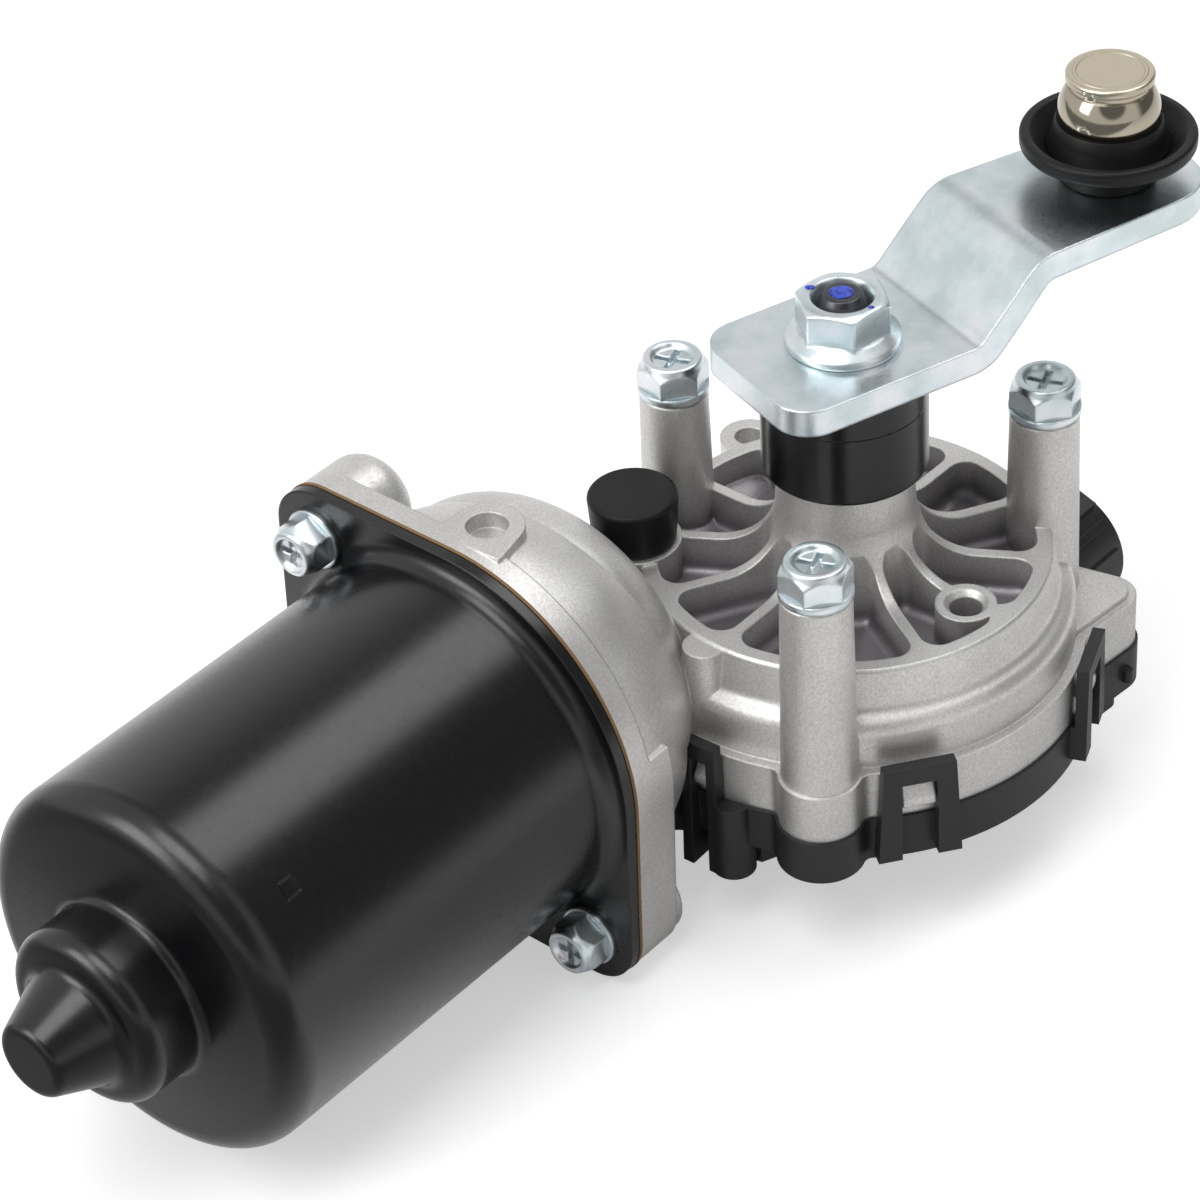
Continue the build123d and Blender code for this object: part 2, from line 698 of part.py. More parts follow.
def water_shield():
    """Cup that turns with the shaft and covers the mouth of the hub."""
    cup = turned([(0, COLLAR_Z), (COLLAR_R, COLLAR_Z), (COLLAR_R, ARM_Z), (0, ARM_Z)], [0, 0.5, 0.8, 0])
    cup -= tube(CUP_R, 0, COLLAR_Z - 1, 68)
    seat = [(0, ARM_Z - 3), (SHAFT_R, ARM_Z - 3), (SHAFT_R, ARM_Z - 2), (4.83, ARM_Z), (4.83, ARM_Z + 1),
            (0, ARM_Z + 1)]
    return cup - tube(SHAFT_R, 0, 60, ARM_Z - 2) - turned(seat)


# Crank arm

def crank_arm():
    z = ARM_Z + ARM_T / 2
    line = FilletPolyline((-17.7, z), (16.5, z), (27.5, z + ARM_RISE), (62.5, z + ARM_RISE), radius=5)
    side = Plane.XZ * make_face(offset(line, ARM_T / 2))
    strip = extrude(side, 20, both=True)
    corners = [(-17.7, -14), (22, -14), (62.5, -12.6), (62.5, 12.6), (22, 14), (-17.7, 14)]
    plan = make_face(Polyline(*corners, close=True))
    plan = fillet(plan.vertices().sort_by(Axis.X)[:2], 6.0)
    plan = fillet(plan.vertices().sort_by(Axis.X)[-2:], 9.0)
    arm = strip & extrude(Pos(0, 0, ARM_Z - 1) * plan, 30)
    arm -= turned([(0, ARM_Z - 2), (SHAFT_R, ARM_Z - 2), (4.4, ARM_Z + ARM_T), (0, ARM_Z + ARM_T)])
    arm -= Pos(ARM_REACH, 0) * tube(5.0, 0, ARM_Z, 100)
    return Rot(0, 0, ARM_DEG) * arm


def crank_nut():
    low = ARM_Z + ARM_T
    nut = hexagon(13, NUT_H, low)
    flange = [(0, low), (8.95, low), (8.95, low + 1.2), (7.0, low + 2.6), (0, low + 2.6)]
    nut += turned(flange, [0, 0.3, 0.5, 0, 0])
    return nut - tube(THREAD_R, 0, low - 1, low + 10)


def at_ball(shape):
    return Rot(0, 0, ARM_DEG) * Pos(ARM_REACH, 0) * shape


def ball_stud():
    """Riveted stud with a 16 mm ball, grooved and flat on top."""
    top = ARM_Z + ARM_T + ARM_RISE
    centre = top + 11.2
    ball = Pos(0, 0, centre) * Sphere(8.0)
    ball &= tube(10, 0, centre - 6.3, centre + 4.6)
    body = tube(5.0, 0, top - ARM_T - 0.8, centre - 5)
    body += ball
    cap = [(0, centre + 4), (6.3, centre + 4), (6.3, centre + 5.5), (6.9, centre + 5.7), (6.9, centre + 7),
           (0, centre + 7)]
    body += turned(cap, [0, 0, 0, 0.2, 0.5, 0])
    body += tube(6.4, 0, top - ARM_T - 1.6, top - ARM_T)
    return at_ball(body)


def ball_boot():
    """Rubber dish under the ball with a rounded lip."""
    foot = ARM_Z + ARM_T + ARM_RISE
    corners = [(5.05, 0), (7.6, 0), (7.6, 2.4), (13.7, 5.6), (13.7, 8.0), (12.2, 8.0), (8.8, 4.6),
               (5.05, 3.6)]
    dish = turned([(r, foot + z) for r, z in corners], [0, 0.5, 1.2, 1.2, 0.7, 0.7, 2.0, 0])
    return at_ball(dish)


# Armature

def thread_half(radius):
    """Half the angle that the worm thread spans at a radius."""
    half = TOOTH_SHARE * PITCH / 2 + (WORM_PITCH_R - radius) * math.tan(math.radians(PRESSURE_DEG))
    return half / PITCH * 360


def worm():
    """One-start worm: the cut across its thread, turned once for each pitch along the axis."""
    root = WORM_PITCH_R - DEDENDUM
    tip = WORM_PITCH_R + ADDENDUM
    rise = [root + (tip - root) * k / 4 for k in range(5)]
    up = Spline(*[polar(r, -thread_half(r)) for r in rise])
    crest = ThreePointArc(polar(tip, -thread_half(tip)), (tip, 0), polar(tip, thread_half(tip)))
    down = Spline(*[polar(r, thread_half(r)) for r in reversed(rise)])
    valley = ThreePointArc(polar(root, thread_half(root)), (-root, 0), polar(root, -thread_half(root)))
    turns = 2 * WORM_HALF / PITCH
    tooth = Face(Wire([up.edge(), crest.edge(), down.edge(), valley.edge()]))
    start = Rot(0, 0, -90 - 180 - 180 * turns) * tooth
    section = Pos(0, 0, -WORM_HALF) * start
    if section.normal_at().Z > 0:
        section = -section
    return Solid.extrude_linear_with_rotation(section, (0, 0, -WORM_HALF), (0, 0, 2 * WORM_HALF), 360 * turns)


def armature_shaft():
    """Motor shaft with the worm cut into its front end."""
    root = WORM_PITCH_R - DEDENDUM
    end = NOSE_TIP + 6.0
    rear = turned([(0, end), (MOTOR_SHAFT_R, end), (MOTOR_SHAFT_R, -WORM_HALF - 1), (root, -WORM_HALF),
                   (0, -WORM_HALF)], [0, 1, 0, 0, 0])
    front = turned([(0, WORM_HALF), (root, WORM_HALF), (MOTOR_SHAFT_R, WORM_HALF + 1), (MOTOR_SHAFT_R, 21.8),
                    (0, 21.8)], [0, 0, 0, 0.8, 0])
    return on_motor(rear + worm() + front)


def armature_core():
    """Lamination stack with slots for the windings."""
    slot = Pos(CORE_R - 5.0, 0) * Circle(2.2) + Pos(CORE_R - 2.0, 0) * Rectangle(5, 1.6)
    plan = Circle(CORE_R) - Circle(MOTOR_SHAFT_R)
    for i in range(SLOTS):
        plan -= Rot(0, 0, 360 / SLOTS * i) * slot
    return on_motor(extrude(Pos(0, 0, -117) * plan, 42))


def armature_windings():
    """Domed bundles of wire at both ends of the core."""
    foot, crest = CORE_R - 1.4, CORE_R - 2.2
    rear = turned([(8, -117), (foot, -117), (crest, -122), (14, -125), (8, -124)], [0, 0, 2, 2, 0])
    front = turned([(8, -75), (foot, -75), (crest, -70), (13, -66.5), (8, -67)], [0, 0, 2, 2, 0])
    return on_motor(Compound([rear, front]))


def commutator():
    drum = tube(COMM_R, MOTOR_SHAFT_R, -62.5, -46.4)
    drum += tube(12.4, MOTOR_SHAFT_R, -64.5, -62.5)
    for i in range(SLOTS):
        drum -= Rot(0, 0, 360 / SLOTS * i) * block(9.8, 13, -0.25, 0.25, -70, -40)
    return on_motor(drum)


NODES = {
    "gear_housing": gear_housing,
    "gear_cover": gear_cover,
    "connector_shell": connector_shell,
    "connector_terminals": connector_terminals,
    "motor_can": motor_can,
    "flange_gasket": flange_gasket,
    "flange_bolts": flange_bolts,
    "flange_washers": flange_washers,
    "post_bolts": post_bolts,
    "post_washers": post_washers,
    "rubber_plug": rubber_plug,
    "lower_bush": lower_bush,
    "upper_bush": upper_bush,
    "shaft_seal": shaft_seal,
    "contact_plate": contact_plate,
    "park_contacts": park_contacts,
    "field_magnets": field_magnets,
    "rear_bush": rear_bush,
    "bush_retainer": bush_retainer,
    "front_bearing": front_bearing,
    "bearing_retainer": bearing_retainer,
    "brush_card": brush_card,
    "brush_holders": brush_holders,
    "brushes": brushes,
    "brush_springs": brush_springs,
    "choke_coils": choke_coils,
    "thrust_button": thrust_button,
    "output_shaft": output_shaft,
    "worm_wheel": worm_wheel,
    "park_disc": park_disc,
    "thrust_washer": thrust_washer,
    "shaft_washer": shaft_washer,
    "retaining_ring": retaining_ring,
    "water_shield": water_shield,
    "crank_arm": crank_arm,
    "crank_nut": crank_nut,
    "ball_stud": ball_stud,
    "ball_boot": ball_boot,
    "armature_shaft": armature_shaft,
    "armature_core": armature_core,
    "armature_windings": armature_windings,
    "commutator": commutator,
    "bearing_inner_ring": bearing_inner_ring,
}

if __name__ == "__main__":
    for name, build in NODES.items():
        export_step(build(), f"parts/{name}.step")
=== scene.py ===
# %% [markdown]
# # A windscreen wiper motor
# A black steel motor can is screwed to a die-cast gear case. A worm on the
# motor's shaft drives a wheel, and a joggled crank arm on the output shaft
# swings the linkage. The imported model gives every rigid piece; this lesson
# gives them their finishes and adds the small shapes that catch the eye.

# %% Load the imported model
import json
import math

import bpy
from mathutils import Matrix, Vector


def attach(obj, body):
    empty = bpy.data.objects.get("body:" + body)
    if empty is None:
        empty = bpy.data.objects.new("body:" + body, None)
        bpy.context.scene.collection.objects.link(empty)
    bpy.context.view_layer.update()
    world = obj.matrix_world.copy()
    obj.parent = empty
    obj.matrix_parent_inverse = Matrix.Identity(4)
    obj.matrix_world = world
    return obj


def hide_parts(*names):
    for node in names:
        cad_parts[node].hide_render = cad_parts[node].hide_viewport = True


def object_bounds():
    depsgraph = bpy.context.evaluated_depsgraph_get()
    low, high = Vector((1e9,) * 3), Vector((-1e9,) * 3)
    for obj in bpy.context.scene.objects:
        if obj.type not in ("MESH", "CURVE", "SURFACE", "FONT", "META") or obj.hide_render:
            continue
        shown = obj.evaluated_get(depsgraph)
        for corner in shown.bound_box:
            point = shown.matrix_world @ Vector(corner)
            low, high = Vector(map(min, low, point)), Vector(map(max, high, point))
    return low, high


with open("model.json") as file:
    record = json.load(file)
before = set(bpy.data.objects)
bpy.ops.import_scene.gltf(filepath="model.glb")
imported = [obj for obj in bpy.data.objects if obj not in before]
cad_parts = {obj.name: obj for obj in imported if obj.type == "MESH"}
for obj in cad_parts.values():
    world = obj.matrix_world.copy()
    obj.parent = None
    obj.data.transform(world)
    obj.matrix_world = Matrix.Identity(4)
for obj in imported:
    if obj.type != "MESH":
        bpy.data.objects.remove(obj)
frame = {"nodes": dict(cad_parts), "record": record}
cad_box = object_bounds()
MM = 0.001
print("CAD box in mm:", [[round(v / MM, 1) for v in corner] for corner in cad_box])

# %% [markdown]
# ## The camera
# The photograph looks down on the motor from its nose side, about 37 degrees
# above the table. The place and the lens were fitted to points read off the
# picture, with the nut and the ball taken to be of standard sizes. A camera
# in Blender looks along its own -Z, so it is rolled about that axis first,
# then tipped up and then turned.

# %% Camera
CAMERA_PLACE = (-0.4151, -0.3199, 0.4266)
HEADING, TILT, ROLL = 41.9, 37.2, -3.48
LENS = 124.5
NEAREST, FURTHEST = 0.01, 50


def look(heading, tilt, roll):
    """Rotation of a camera, from angles in degrees."""
    turn = Matrix.Rotation(math.radians(heading - 90), 3, "Z")
    tip = Matrix.Rotation(math.radians(90 - tilt), 3, "X")
    lean = Matrix.Rotation(math.radians(roll), 3, "Z")
    return (turn @ tip @ lean).to_euler()


bpy.ops.object.camera_add(location=CAMERA_PLACE, rotation=look(HEADING, TILT, ROLL))
camera = bpy.context.object
camera.data.lens = LENS
camera.data.clip_start, camera.data.clip_end = NEAREST, FURTHEST
bpy.context.scene.camera = camera
bpy.context.scene.view_settings.view_transform = "Standard"
print("camera in mm:", [round(v / MM) for v in camera.location], "lens", LENS)

# %% [markdown]
# ## Sums on sockets
# A material is a tree of nodes, and its maths reads better as Python. This
# small class holds one socket. A plus, a minus or a times between two of them
# adds a Math node, and the node method makes any other kind of node.


# %% A socket that takes part in sums
class Socket:
    def __init__(self, tree, socket):
        self.tree, self.socket = tree, socket

    def node(self, kind, settings=None, sockets=None, out=0):
        """Add a node, feed its inputs, and give one of its outputs."""
        made = self.tree.nodes.new(kind)
        for key, value in (settings or {}).items():
            setattr(made, key, value)
        for key, value in (sockets or {}).items():
            if isinstance(value, Socket):
                self.tree.links.new(value.socket, made.inputs[key])
            else:
                made.inputs[key].default_value = value
        return Socket(self.tree, made.outputs[out])

    def sum_with(self, operation, first, second):
        return self.node("ShaderNodeMath", {"operation": operation}, {0: first, 1: second})

    def __add__(self, other):
        return self.sum_with("ADD", self, other)

    def __radd__(self, other):
        return self.sum_with("ADD", other, self)

    def __sub__(self, other):
        return self.sum_with("SUBTRACT", self, other)

    def __rsub__(self, other):
        return self.sum_with("SUBTRACT", other, self)

    def __mul__(self, other):
        return self.sum_with("MULTIPLY", self, other)

    def __gt__(self, other):
        return self.sum_with("GREATER_THAN", self, other)


# %% [markdown]
# ## Starting a finish
# Every finish starts the same way: a Principled shader and the object's own
# coordinates in metres. Uniform numbers are set on the shader itself, and
# only what varies over the surface is linked. The bump starts from a Bevel
# node, which rounds sharp edges where light catches them.

# %% Start, link and bump a finish
FINISHES = {}
BEVEL_SAMPLES = 6


def start(name, colour, roughness, metallic=0.0, **sockets):
    """Make a material; give its shader and the object's coordinates."""
    material = bpy.data.materials.new(name)
    material.use_nodes = True
    tree = material.node_tree
    shader = tree.nodes["Principled BSDF"]
    shader.inputs["Base Color"].default_value = (*colour, 1)
    shader.inputs["Roughness"].default_value = roughness
    shader.inputs["Metallic"].default_value = metallic
    for key, value in sockets.items():
        shader.inputs[key.replace("_", " ")].default_value = value
    FINISHES[name] = material
    print("finish:", name)
    place = tree.nodes.new("ShaderNodeTexCoord").outputs["Object"]
    return shader, Socket(tree, place)


def link(shader, key, value):
    value.tree.links.new(value.socket, shader.inputs[key])


def noise(place, scale, detail=3.0, roughness=0.55):
    settings = {"Vector": place, "Scale": scale, "Detail": detail, "Roughness": roughness}
    return place.node("ShaderNodeTexNoise", None, settings)


def bump(place, height, distance, strength=1.0, edge=0.25):
    """Distance and edge are in millimetres."""
    rounded = place.node("ShaderNodeBevel", {"samples": BEVEL_SAMPLES}, {"Radius": edge * MM})
    return place.node("ShaderNodeBump", None, {"Strength": strength, "Distance": distance * MM,
                                               "Height": height, "Normal": rounded})


# %% [markdown]
# ## Colours and masks
# A ramp turns a noise into colours. Some marks sit in one place only, such as the painted shade on the
# floors of the pockets or the ring on the ball, so their masks are worked out from the coordinates. The
# fade helper gives a mask a soft edge, and between gives a soft band.


# %% Colour and mask helpers
def ramp(value, *stops):
    """Colour ramp through stops of a position and a colour."""
    made = value.node("ShaderNodeValToRGB", None, {"Fac": value})
    elements = made.socket.node.color_ramp.elements
    for position, _ in stops[2:]:
        elements.new(position)
    for element, (position, colour) in zip(elements, stops):
        element.position = position
        element.color = (*colour, 1)
    return made


def mixed(factor, first, second):
    """Mix of two colours, each a socket or a tuple with its alpha."""
    return factor.node("ShaderNodeMix", {"data_type": "RGBA"}, {0: factor, 6: first, 7: second}, out=2)


def fade(value, low, high):
    """0 below the low value, 1 above the high one, smooth between."""
    settings = {"interpolation_type": "SMOOTHSTEP"}
    return value.node("ShaderNodeMapRange", settings, {"Value": value, "From Min": low, "From Max": high})


def between(value, centre, half, soft):
    """1 within half of the centre, falling to 0 over the soft width."""
    offset = value.node("ShaderNodeMath", {"operation": "ABSOLUTE"}, {0: value - centre})
    return 1 - fade(offset, half, half + soft)


def parts_of(place):
    """The three numbers of a coordinate."""
    return [place.node("ShaderNodeSeparateXYZ", None, {0: place}, out=i) for i in range(3)]


def reach_of(x, y, centre_x, centre_y):
    """Distance from an upright axis."""
    across, along = x - centre_x, y - centre_y
    return x.node("ShaderNodeMath", {"operation": "SQRT"}, {0: across * across + along * along})


# %% [markdown]
# ## Cast aluminium
# The gear case is cast, with a fine sandy skin of a soft metal grey. One small noise makes the grains, in
# the colour, the roughness and the bump, and a broad noise clouds the grey. The floors of the rib pockets
# are coloured darker and a little purple, a painted shade in these recesses, to come near their look in
# the photograph. A mask of the height and the distance from the output axis picks them out.

# %% Cast aluminium
POCKET_UNDER, POCKET_FLOOR, POCKET_TOP = 30.0 * MM, 31.8 * MM, 37.0 * MM
POCKET_R = 29.5 * MM
POCKET_SHADE, POCKET_SHARE = (0.17, 0.155, 0.18, 1), 0.85
DULL, EVEN, BRIGHT = [(level,) * 3 for level in (0.84, 0.95, 1.06)]

shader, place = start("cast_aluminium", (0.62, 0.61, 0.60), 0.45, metallic=0.85)
grain = noise(place, 2500, 3.0, 0.6)
cloud = noise(place, 70, 4.0)
greys = ramp(cloud, (0.3, (0.60, 0.59, 0.575)), (0.7, (0.70, 0.69, 0.675)))
grains = ramp(grain, (0.34, DULL), (0.5, EVEN), (0.66, BRIGHT))
sandy = place.node("ShaderNodeMix", {"data_type": "RGBA", "blend_type": "MULTIPLY"},
                   {0: 1.0, 6: greys, 7: grains}, out=2)
x, y, z = parts_of(place)
# Painted shade on the pocket floors, masked by height and by distance from the output axis.
low_down = (1 - fade(z, POCKET_FLOOR, POCKET_TOP)) * fade(z, POCKET_UNDER, POCKET_UNDER + MM)
painted_pocket_shade = low_down * (1 - fade(reach_of(x, y, 0.0, 0.0), POCKET_R, POCKET_R + MM))
link(shader, "Base Color", mixed(painted_pocket_shade * POCKET_SHARE, sandy, POCKET_SHADE))
link(shader, "Roughness", 0.60 - grain * 0.28)
link(shader, "Normal", bump(place, grain, 0.05, 0.6, edge=0.5))

# %% [markdown]
# ## Black paint on the can
# The can is drawn from sheet steel and painted a smooth black, so it shows
# the lamps and the white backdrop as long soft bands. A fine orange-peel
# texture breaks them up a little. The photograph shows one small square mark
# on the can's side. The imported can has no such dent, so it is made in the
# bump, from its place along the can and its distance round it.

# %% Black paint
DENT_X, DENT_TURN = -119.0 * MM, math.radians(46)
DENT_HALF, DENT_SOFT, DENT_DEPTH = 1.1 * MM, 0.4 * MM, 0.8
CAN_Y, CAN_Z = 29.5 * MM, 25.0 * MM

shader, place = start("black_paint", (0.0035, 0.0035, 0.0042), 0.26, Specular_IOR_Level=0.5)
film = noise(place, 700, 2.0)
x, y, z = parts_of(place)
round_can = (CAN_Y - y) * math.cos(DENT_TURN) - (z - CAN_Z) * math.sin(DENT_TURN)
along, across = between(x, DENT_X, DENT_HALF, DENT_SOFT), between(round_can, 0, DENT_HALF, DENT_SOFT)
dent = along * across * (z > CAN_Z)
link(shader, "Roughness", 0.21 + film * 0.10)
link(shader, "Normal", bump(place, film * 0.005 - dent * DENT_DEPTH, 1.0, edge=0.5))

# %% [markdown]
# ## Black plastic and rubber
# The cover and the plug socket are moulded plastic with a charcoal sheen. The
# vent plug and the boot are rubber, which is duller. The cup under the arm is
# made shinier than the cover, with a faint step round it, as photographed.

# %% Black plastic and rubber
shader, place = start("black_plastic", (0.016, 0.016, 0.018), 0.4, Specular_IOR_Level=0.4)
skin = noise(place, 1500, 3.0)
link(shader, "Roughness", 0.34 + skin * 0.16)
link(shader, "Normal", bump(place, skin, 0.02, 0.4))

shader, place = start("black_rubber", (0.003, 0.003, 0.003), 0.45, Specular_IOR_Level=0.28)
skin = noise(place, 1100, 4.0)
link(shader, "Roughness", 0.38 + skin * 0.2)
link(shader, "Normal", bump(place, skin, 0.02, 0.5))

# %% Shiny plastic of the cup
CUP_STEP_Z, CUP_STEP_SOFT = 66.5 * MM, 0.3 * MM

shader, place = start("cup_plastic", (0.003, 0.003, 0.004), 0.2, Specular_IOR_Level=0.4)
skin = noise(place, 600, 2.0)
step = fade(parts_of(place)[2], CUP_STEP_Z, CUP_STEP_Z + CUP_STEP_SOFT)
link(shader, "Roughness", 0.17 + skin * 0.1)
link(shader, "Normal", bump(place, skin * 0.004 + step * 0.12, 1.0, edge=0.5))

# %% [markdown]
# ## Zinc plating
# The arm and the screws are steel with a bright, bluish zinc plating. Its
# tint wanders from a dull green-grey to a pale one, so a broad noise picks it
# from a ramp. A fine noise varies the roughness, which makes the plating
# sparkle a little.

# %% Zinc plating
shader, place = start("zinc_steel", (0.66, 0.71, 0.74), 0.3, metallic=1.0)
crystal = noise(place, 1600, 3.0, 0.7)
stain = noise(place, 90, 4.0, 0.6)
tints = ramp(stain, (0.36, (0.54, 0.61, 0.62)), (0.5, (0.64, 0.71, 0.74)), (0.64, (0.76, 0.77, 0.80)))
link(shader, "Base Color", tints)
link(shader, "Roughness", 0.20 + crystal * 0.22)
link(shader, "Normal", bump(place, crystal, 0.012, 0.4, edge=0.6))

# %% [markdown]
# ## Nickel
# The ball stud is mirror bright and a little warm, like nickel plating. Its
# flat top has a low ring, which the bump adds by the distance to the ball's
# axis. Below the top the colour itself is darkened. That is a matter of looks
# and not of the metal: the sides came out lighter than in the photograph,
# where they mirror darker surroundings than this scene has.

# %% Nickel
BALL_X, BALL_Y, BALL_TOP = 46.94 * MM, -15.71 * MM, 106.2 * MM
RING_R, RING_HALF, RING_SOFT = 5.5 * MM, 0.2 * MM, 0.15 * MM
SIDE_COLOUR, TOP_COLOUR = (0.38, 0.34, 0.27, 1), (0.58, 0.52, 0.41, 1)

shader, place = start("nickel", TOP_COLOUR[:3], 0.15, metallic=1.0)
wear = noise(place, 1400, 4.0, 0.7)
x, y, z = parts_of(place)
ring = between(reach_of(x, y, BALL_X, BALL_Y), RING_R, RING_HALF, RING_SOFT)
tops = fade(z, BALL_TOP - 0.6 * MM, BALL_TOP - 0.2 * MM)
link(shader, "Base Color", mixed(tops, SIDE_COLOUR, TOP_COLOUR))
link(shader, "Roughness", 0.04 + wear * 0.12 + tops * 0.2)
link(shader, "Normal", bump(place, wear * 0.004 + ring * tops * 0.25, 1.0, edge=0.4))

# %% [markdown]
# ## Finishes inside
# Most of the inner pieces never show from outside, yet each gets its own
# finish, so that a cutaway or a close look still makes sense. A row gives the
# colour, the roughness, how metallic it is, and the scale of its noise.

# %% Finishes inside
INSIDE = {
    "tinned_brass": ((0.70, 0.60, 0.36), 0.3, 1.0, 400),
    "gasket_sheet": ((0.24, 0.14, 0.06), 0.8, 0.0, 900),
    "bronze": ((0.50, 0.33, 0.17), 0.45, 1.0, 800),
    "brown_laminate": ((0.22, 0.10, 0.04), 0.5, 0.0, 500),
    "ferrite": ((0.05, 0.05, 0.055), 0.55, 0.0, 600),
    "bearing_steel": ((0.62, 0.62, 0.63), 0.18, 1.0, 700),
    "carbon": ((0.03, 0.03, 0.03), 0.5, 0.2, 900),
    "copper_wire": ((0.60, 0.24, 0.10), 0.3, 0.9, 300),
    "white_plastic": ((0.78, 0.75, 0.68), 0.4, 0.0, 500),
    "dark_steel": ((0.09, 0.09, 0.10), 0.35, 1.0, 700),
}
for name, (colour, roughness, metallic, scale) in INSIDE.items():
    shader, place = start(name, colour, roughness, metallic)
    texture = noise(place, scale)
    dark = tuple(c * 0.8 for c in colour)
    link(shader, "Base Color", mixed(texture, (*dark, 1), (*colour, 1)))
    link(shader, "Roughness", (roughness - 0.06) + texture * 0.12)
    link(shader, "Normal", bump(place, texture, 0.01, 0.3))

# %% [markdown]
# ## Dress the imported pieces
# The record says which finish each piece takes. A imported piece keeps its
# mesh; only its material changes. The cup has a shinier plastic than the
# record's, so it is dressed by name.

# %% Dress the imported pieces
for entry in frame["record"]["subparts"]:
    node = frame["nodes"][entry["node"]]
    node.data.materials.clear()
    node.data.materials.append(FINISHES[entry["material_slot"]])
cup = frame["nodes"]["water_shield"]
cup.data.materials[0] = FINISHES["cup_plastic"]

# %% [markdown]
# ## The nut and the end of the shaft
# In the photograph the flange nut has a wide countersink. The shaft ends in
# a cone in the middle of it, and there are dabs of blue paint on both. The
# packed nut and shaft are plain, so each gets a copy that is cut, and the
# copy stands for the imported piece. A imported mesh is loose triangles, so the
# copy's doubles are merged first.


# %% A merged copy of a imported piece
def edit_all(piece):
    """Open a piece in edit mode with all of it selected."""
    bpy.ops.object.select_all(action="DESELECT")
    piece.select_set(True)
    bpy.context.view_layer.objects.active = piece
    bpy.ops.object.mode_set(mode="EDIT")
    bpy.ops.mesh.select_all(action="SELECT")


def copy_of(node, name):
    source = frame["nodes"][node]
    piece = bpy.data.objects.new(name, source.data.copy())
    bpy.context.collection.objects.link(piece)
    edit_all(piece)
    bpy.ops.mesh.customdata_custom_splitnormals_clear()
    bpy.ops.mesh.remove_doubles(threshold=0.002 * MM)
    bpy.ops.mesh.normals_make_consistent(inside=False)
    bpy.ops.object.mode_set(mode="OBJECT")
    return piece


def finish_piece(piece, finish, slot, *nodes):
    """Dress a new piece, let it turn with the output, and hide what it replaces."""
    edit_all(piece)
    bpy.ops.mesh.normals_make_consistent(inside=False)
    bpy.ops.object.mode_set(mode="OBJECT")
    bpy.ops.object.shade_smooth_by_angle(angle=math.radians(35))
    piece.data.materials.clear()
    piece.data.materials.append(FINISHES[finish])
    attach(piece, "output")
    if nodes:
        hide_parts(*nodes)
    print(piece.name, "faces:", len(piece.data.polygons))


# %% [markdown]
# The nut is turned nine degrees to match the photograph, and a cone cuts the
# countersink. Without a window the rotate operator needs its centre given.

# %% Countersunk nut
NUT_TOP, NUT_TURN = 84.5 * MM, math.radians(9)
SINK_LOW_R, SINK_HIGH_R, SINK_HEIGHT = 4.1 * MM, 5.0 * MM, 1.8 * MM
SINK_MIDDLE = NUT_TOP - 0.8 * MM

nut = copy_of("crank_nut", "countersunk_nut")
edit_all(nut)
bpy.ops.transform.rotate(value=NUT_TURN, orient_axis="Z", center_override=(0, 0, 0))
bpy.ops.object.mode_set(mode="OBJECT")
bpy.ops.object.select_all(action="DESELECT")
bpy.ops.mesh.primitive_cone_add(vertices=64, radius1=SINK_LOW_R, radius2=SINK_HIGH_R, depth=SINK_HEIGHT,
                                location=(0, 0, SINK_MIDDLE))
cone = bpy.context.object
cut = nut.modifiers.new("countersink", "BOOLEAN")
cut.operation, cut.object, cut.solver = "DIFFERENCE", cone, "EXACT"
bpy.context.view_layer.objects.active = nut
bpy.ops.object.modifier_apply(modifier=cut.name)
bpy.data.objects.remove(cone)
finish_piece(nut, "zinc_steel", "zinc_steel", "crank_nut")

# %% [markdown]
# The shaft is cut off just inside the nut. The cut face is then extruded and
# drawn in to make the cone, and again, downwards, for the dimple that the
# lathe's centre leaves. Scaling about the axis keeps every ring round. Each
# step has how far the face is drawn in and how far it rises.

# %% Coned shaft end
CONE_FOOT, CONE_TOP = 83.2 * MM, 84.9 * MM
STEPS = ((0.74, CONE_TOP - CONE_FOOT), (0.92, 0.1 * MM), (0.7, -0.1 * MM), (0.4, -0.25 * MM))

shaft = copy_of("output_shaft", "coned_shaft")
edit_all(shaft)
bpy.ops.mesh.bisect(plane_co=(0, 0, CONE_FOOT), plane_no=(0, 0, 1), use_fill=True, clear_outer=True)
bpy.ops.mesh.select_mode(type="FACE")
bpy.ops.mesh.select_all(action="DESELECT")
bpy.ops.object.mode_set(mode="OBJECT")
for face in shaft.data.polygons:
    face.select = face.center.z > CONE_FOOT - 0.01 * MM and face.normal.z > 0.9
bpy.ops.object.mode_set(mode="EDIT")
for draw, rise in STEPS:
    bpy.ops.mesh.extrude_region_move(TRANSFORM_OT_translate={"value": (0, 0, rise)})
    bpy.ops.transform.resize(value=(draw, draw, 1), center_override=(0, 0, CONE_TOP))
bpy.ops.object.mode_set(mode="OBJECT")
finish_piece(shaft, "dark_steel", "dark_steel", "output_shaft")

# %% [markdown]
# ## Blue paint
# The paint is brushed on wet and dries glossy, thicker in the middle. Each
# dab starts as a disc that is raised, drawn in and roughened, and the three
# are joined into one piece.

# %% Paint dabs
DABS = [(0.1, 0.35, CONE_TOP - 0.1 * MM, 2.1, 1.8), (-1.15, 5.3, NUT_TOP - 0.05 * MM, 0.8, 0.55),
        (-0.15, -5.5, NUT_TOP - 0.05 * MM, 0.5, 0.35)]
DAB_TURN = math.radians(-49)
LAYERS = ((0.16, 0.94), (0.06, 0.8), (0.03, 0.6))

